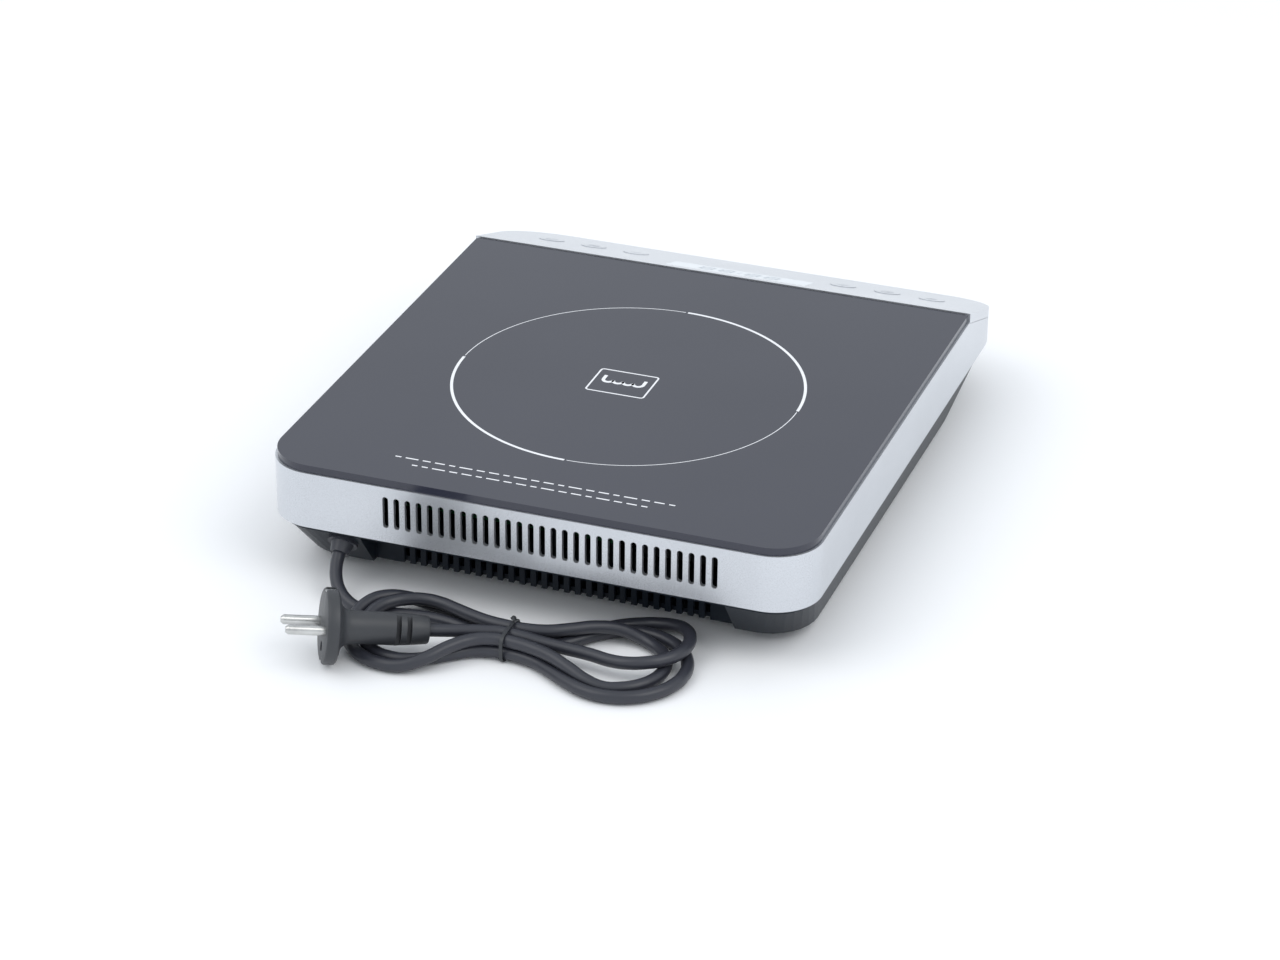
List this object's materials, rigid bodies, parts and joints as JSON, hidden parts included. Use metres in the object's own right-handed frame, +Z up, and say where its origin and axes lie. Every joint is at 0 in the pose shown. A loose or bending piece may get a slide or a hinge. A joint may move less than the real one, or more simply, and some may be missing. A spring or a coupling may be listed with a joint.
{
  "type": "induction hob",
  "caption": "Portable induction hob: square glass plate on a silver vented housing, sloping push-key panel, black base tub, fan-cooled coil, tied mains cord with round plug.",
  "frame": {"origin": "centre of the housing's box in plan, on the floor under the rubber feet", "axes": "+Z up; -Y towards the control panel at the front; +Y towards the vented back where the cord leaves; +X is on the right when the hob is seen from its front"},
  "size_m": [0.282, 0.4336, 0.0657],
  "materials": {
    "glass_ceramic": "opaque black-grey glass-ceramic, polished, printed ring",
    "silver_shell": "silver metallic lacquer with a faint brushed grain",
    "silver_key": "satin silver lacquer",
    "smoked_window": "smoked gloss lens",
    "clear_plastic": "frosted light pipe",
    "screw_steel": "zinc-plated steel",
    "black_shell": "fine-textured black moulding",
    "foot_rubber": "matt rubber",
    "foil_label": "blank satin foil",
    "cream_plastic": "natural nylon",
    "copper_litz": null,
    "ferrite": "sintered ferrite",
    "mica": "pressed mica sheet",
    "ceramic_white": "glazed alumina bead",
    "silicone": "silicone rubber",
    "red_insulation": "PVC sleeving",
    "sleeve_white": "woven glass-fibre sleeving",
    "circuit_board": "green solder mask",
    "heatsink_aluminium": "extruded aluminium",
    "black_epoxy": "moulded epoxy",
    "capacitor_red": "epoxy-filled box",
    "capacitor_blue": "shrink sleeve",
    "transformer_yellow": "insulating tape",
    "fuse_glass": "glass tube and plated clips",
    "terminal_green": "moulded terminal block",
    "brass_post": "plated brass",
    "fan_black": "glass-filled black plastic",
    "led_red": "tinted epoxy lens",
    "ribbon_grey": "flat ribbon insulation",
    "cord_rubber": "dark slate cord jacket",
    "wire_insulation": "coloured core insulation",
    "tie_black": "paper-plastic twist tie",
    "plug_rubber": "moulded plug body",
    "plated_brass": "nickel-plated brass pins"
  },
  "bodies": {
    "root": {"glass_plate": "glass_ceramic", "glass_seal": "silicone", "top_housing": "silver_shell", "control_panel": "silver_shell", "display_window": "smoked_window", "light_pipes": "clear_plastic", "panel_screws": "screw_steel", "base_tub": "black_shell", "rubber_feet": "foot_rubber", "case_screws": "screw_steel", "rating_plate": "foil_label", "coil_carrier": "cream_plastic", "coil_winding": "copper_litz", "ferrite_bars": "ferrite", "mica_sheet": "mica", "thermal_sensor": "ceramic_white", "signal_leads": "red_insulation", "coil_pads": "silicone", "coil_screws": "screw_steel", "coil_leads": "sleeve_white", "power_board": "circuit_board", "board_screws": "screw_steel", "heatsink": "heatsink_aluminium", "power_transistor": "black_epoxy", "rectifier_bridge": "black_epoxy", "film_capacitors": "capacitor_red", "bulk_capacitor": "capacitor_blue", "filter_choke": "copper_litz", "standby_transformer": "transformer_yellow", "buzzer": "black_epoxy", "fuse": "fuse_glass", "mains_terminal": "terminal_green", "coil_terminals": "brass_post", "board_connectors": "cream_plastic", "fan_frame": "fan_black", "fan_stator": "copper_litz", "fan_screws": "screw_steel", "control_board": "circuit_board", "tact_switches": "black_epoxy", "display_module": "black_epoxy", "indicator_leds": "led_red", "control_screws": "screw_steel", "ribbon_cable": "ribbon_grey", "cord_gland": "cord_rubber", "cord_entry": "cord_rubber", "cord_clamp": "cream_plastic", "mains_wires": "wire_insulation", "cord_lead": "cord_rubber", "cord_hank": "cord_rubber", "cord_tail": "cord_rubber", "cord_tie": "tie_black", "plug_body": "plug_rubber", "plug_contacts": "plated_brass"},
    "fan_rotor": {"fan_rotor": "fan_black"},
    "power_key": {"power_key": "silver_key"},
    "mode_key": {"mode_key": "silver_key"},
    "minus_key": {"minus_key": "silver_key"},
    "plus_key": {"plus_key": "silver_key"},
    "timer_key": {"timer_key": "silver_key"},
    "lock_key": {"lock_key": "silver_key"}
  },
  "joints": [
    {"name": "fan_spin", "type": "hinge", "parent": "root", "child": "fan_rotor", "pos_m": [-0.078, 0.062, 0.025], "axis": [0, 0, 1], "continuous": true},
    {"name": "power_press", "type": "slide", "parent": "root", "child": "power_key", "axis": [0, 0.3305, -0.9438], "range_m": [0, 0.0005], "stiffness_N_per_m": 800},
    {"name": "mode_press", "type": "slide", "parent": "root", "child": "mode_key", "axis": [0, 0.3305, -0.9438], "range_m": [0, 0.0005], "stiffness_N_per_m": 800},
    {"name": "minus_press", "type": "slide", "parent": "root", "child": "minus_key", "axis": [0, 0.3305, -0.9438], "range_m": [0, 0.0005], "stiffness_N_per_m": 800},
    {"name": "plus_press", "type": "slide", "parent": "root", "child": "plus_key", "axis": [0, 0.3305, -0.9438], "range_m": [0, 0.0005], "stiffness_N_per_m": 800},
    {"name": "timer_press", "type": "slide", "parent": "root", "child": "timer_key", "axis": [0, 0.3305, -0.9438], "range_m": [0, 0.0005], "stiffness_N_per_m": 800},
    {"name": "lock_press", "type": "slide", "parent": "root", "child": "lock_key", "axis": [0, 0.3305, -0.9438], "range_m": [0, 0.0005], "stiffness_N_per_m": 800}
  ]
}
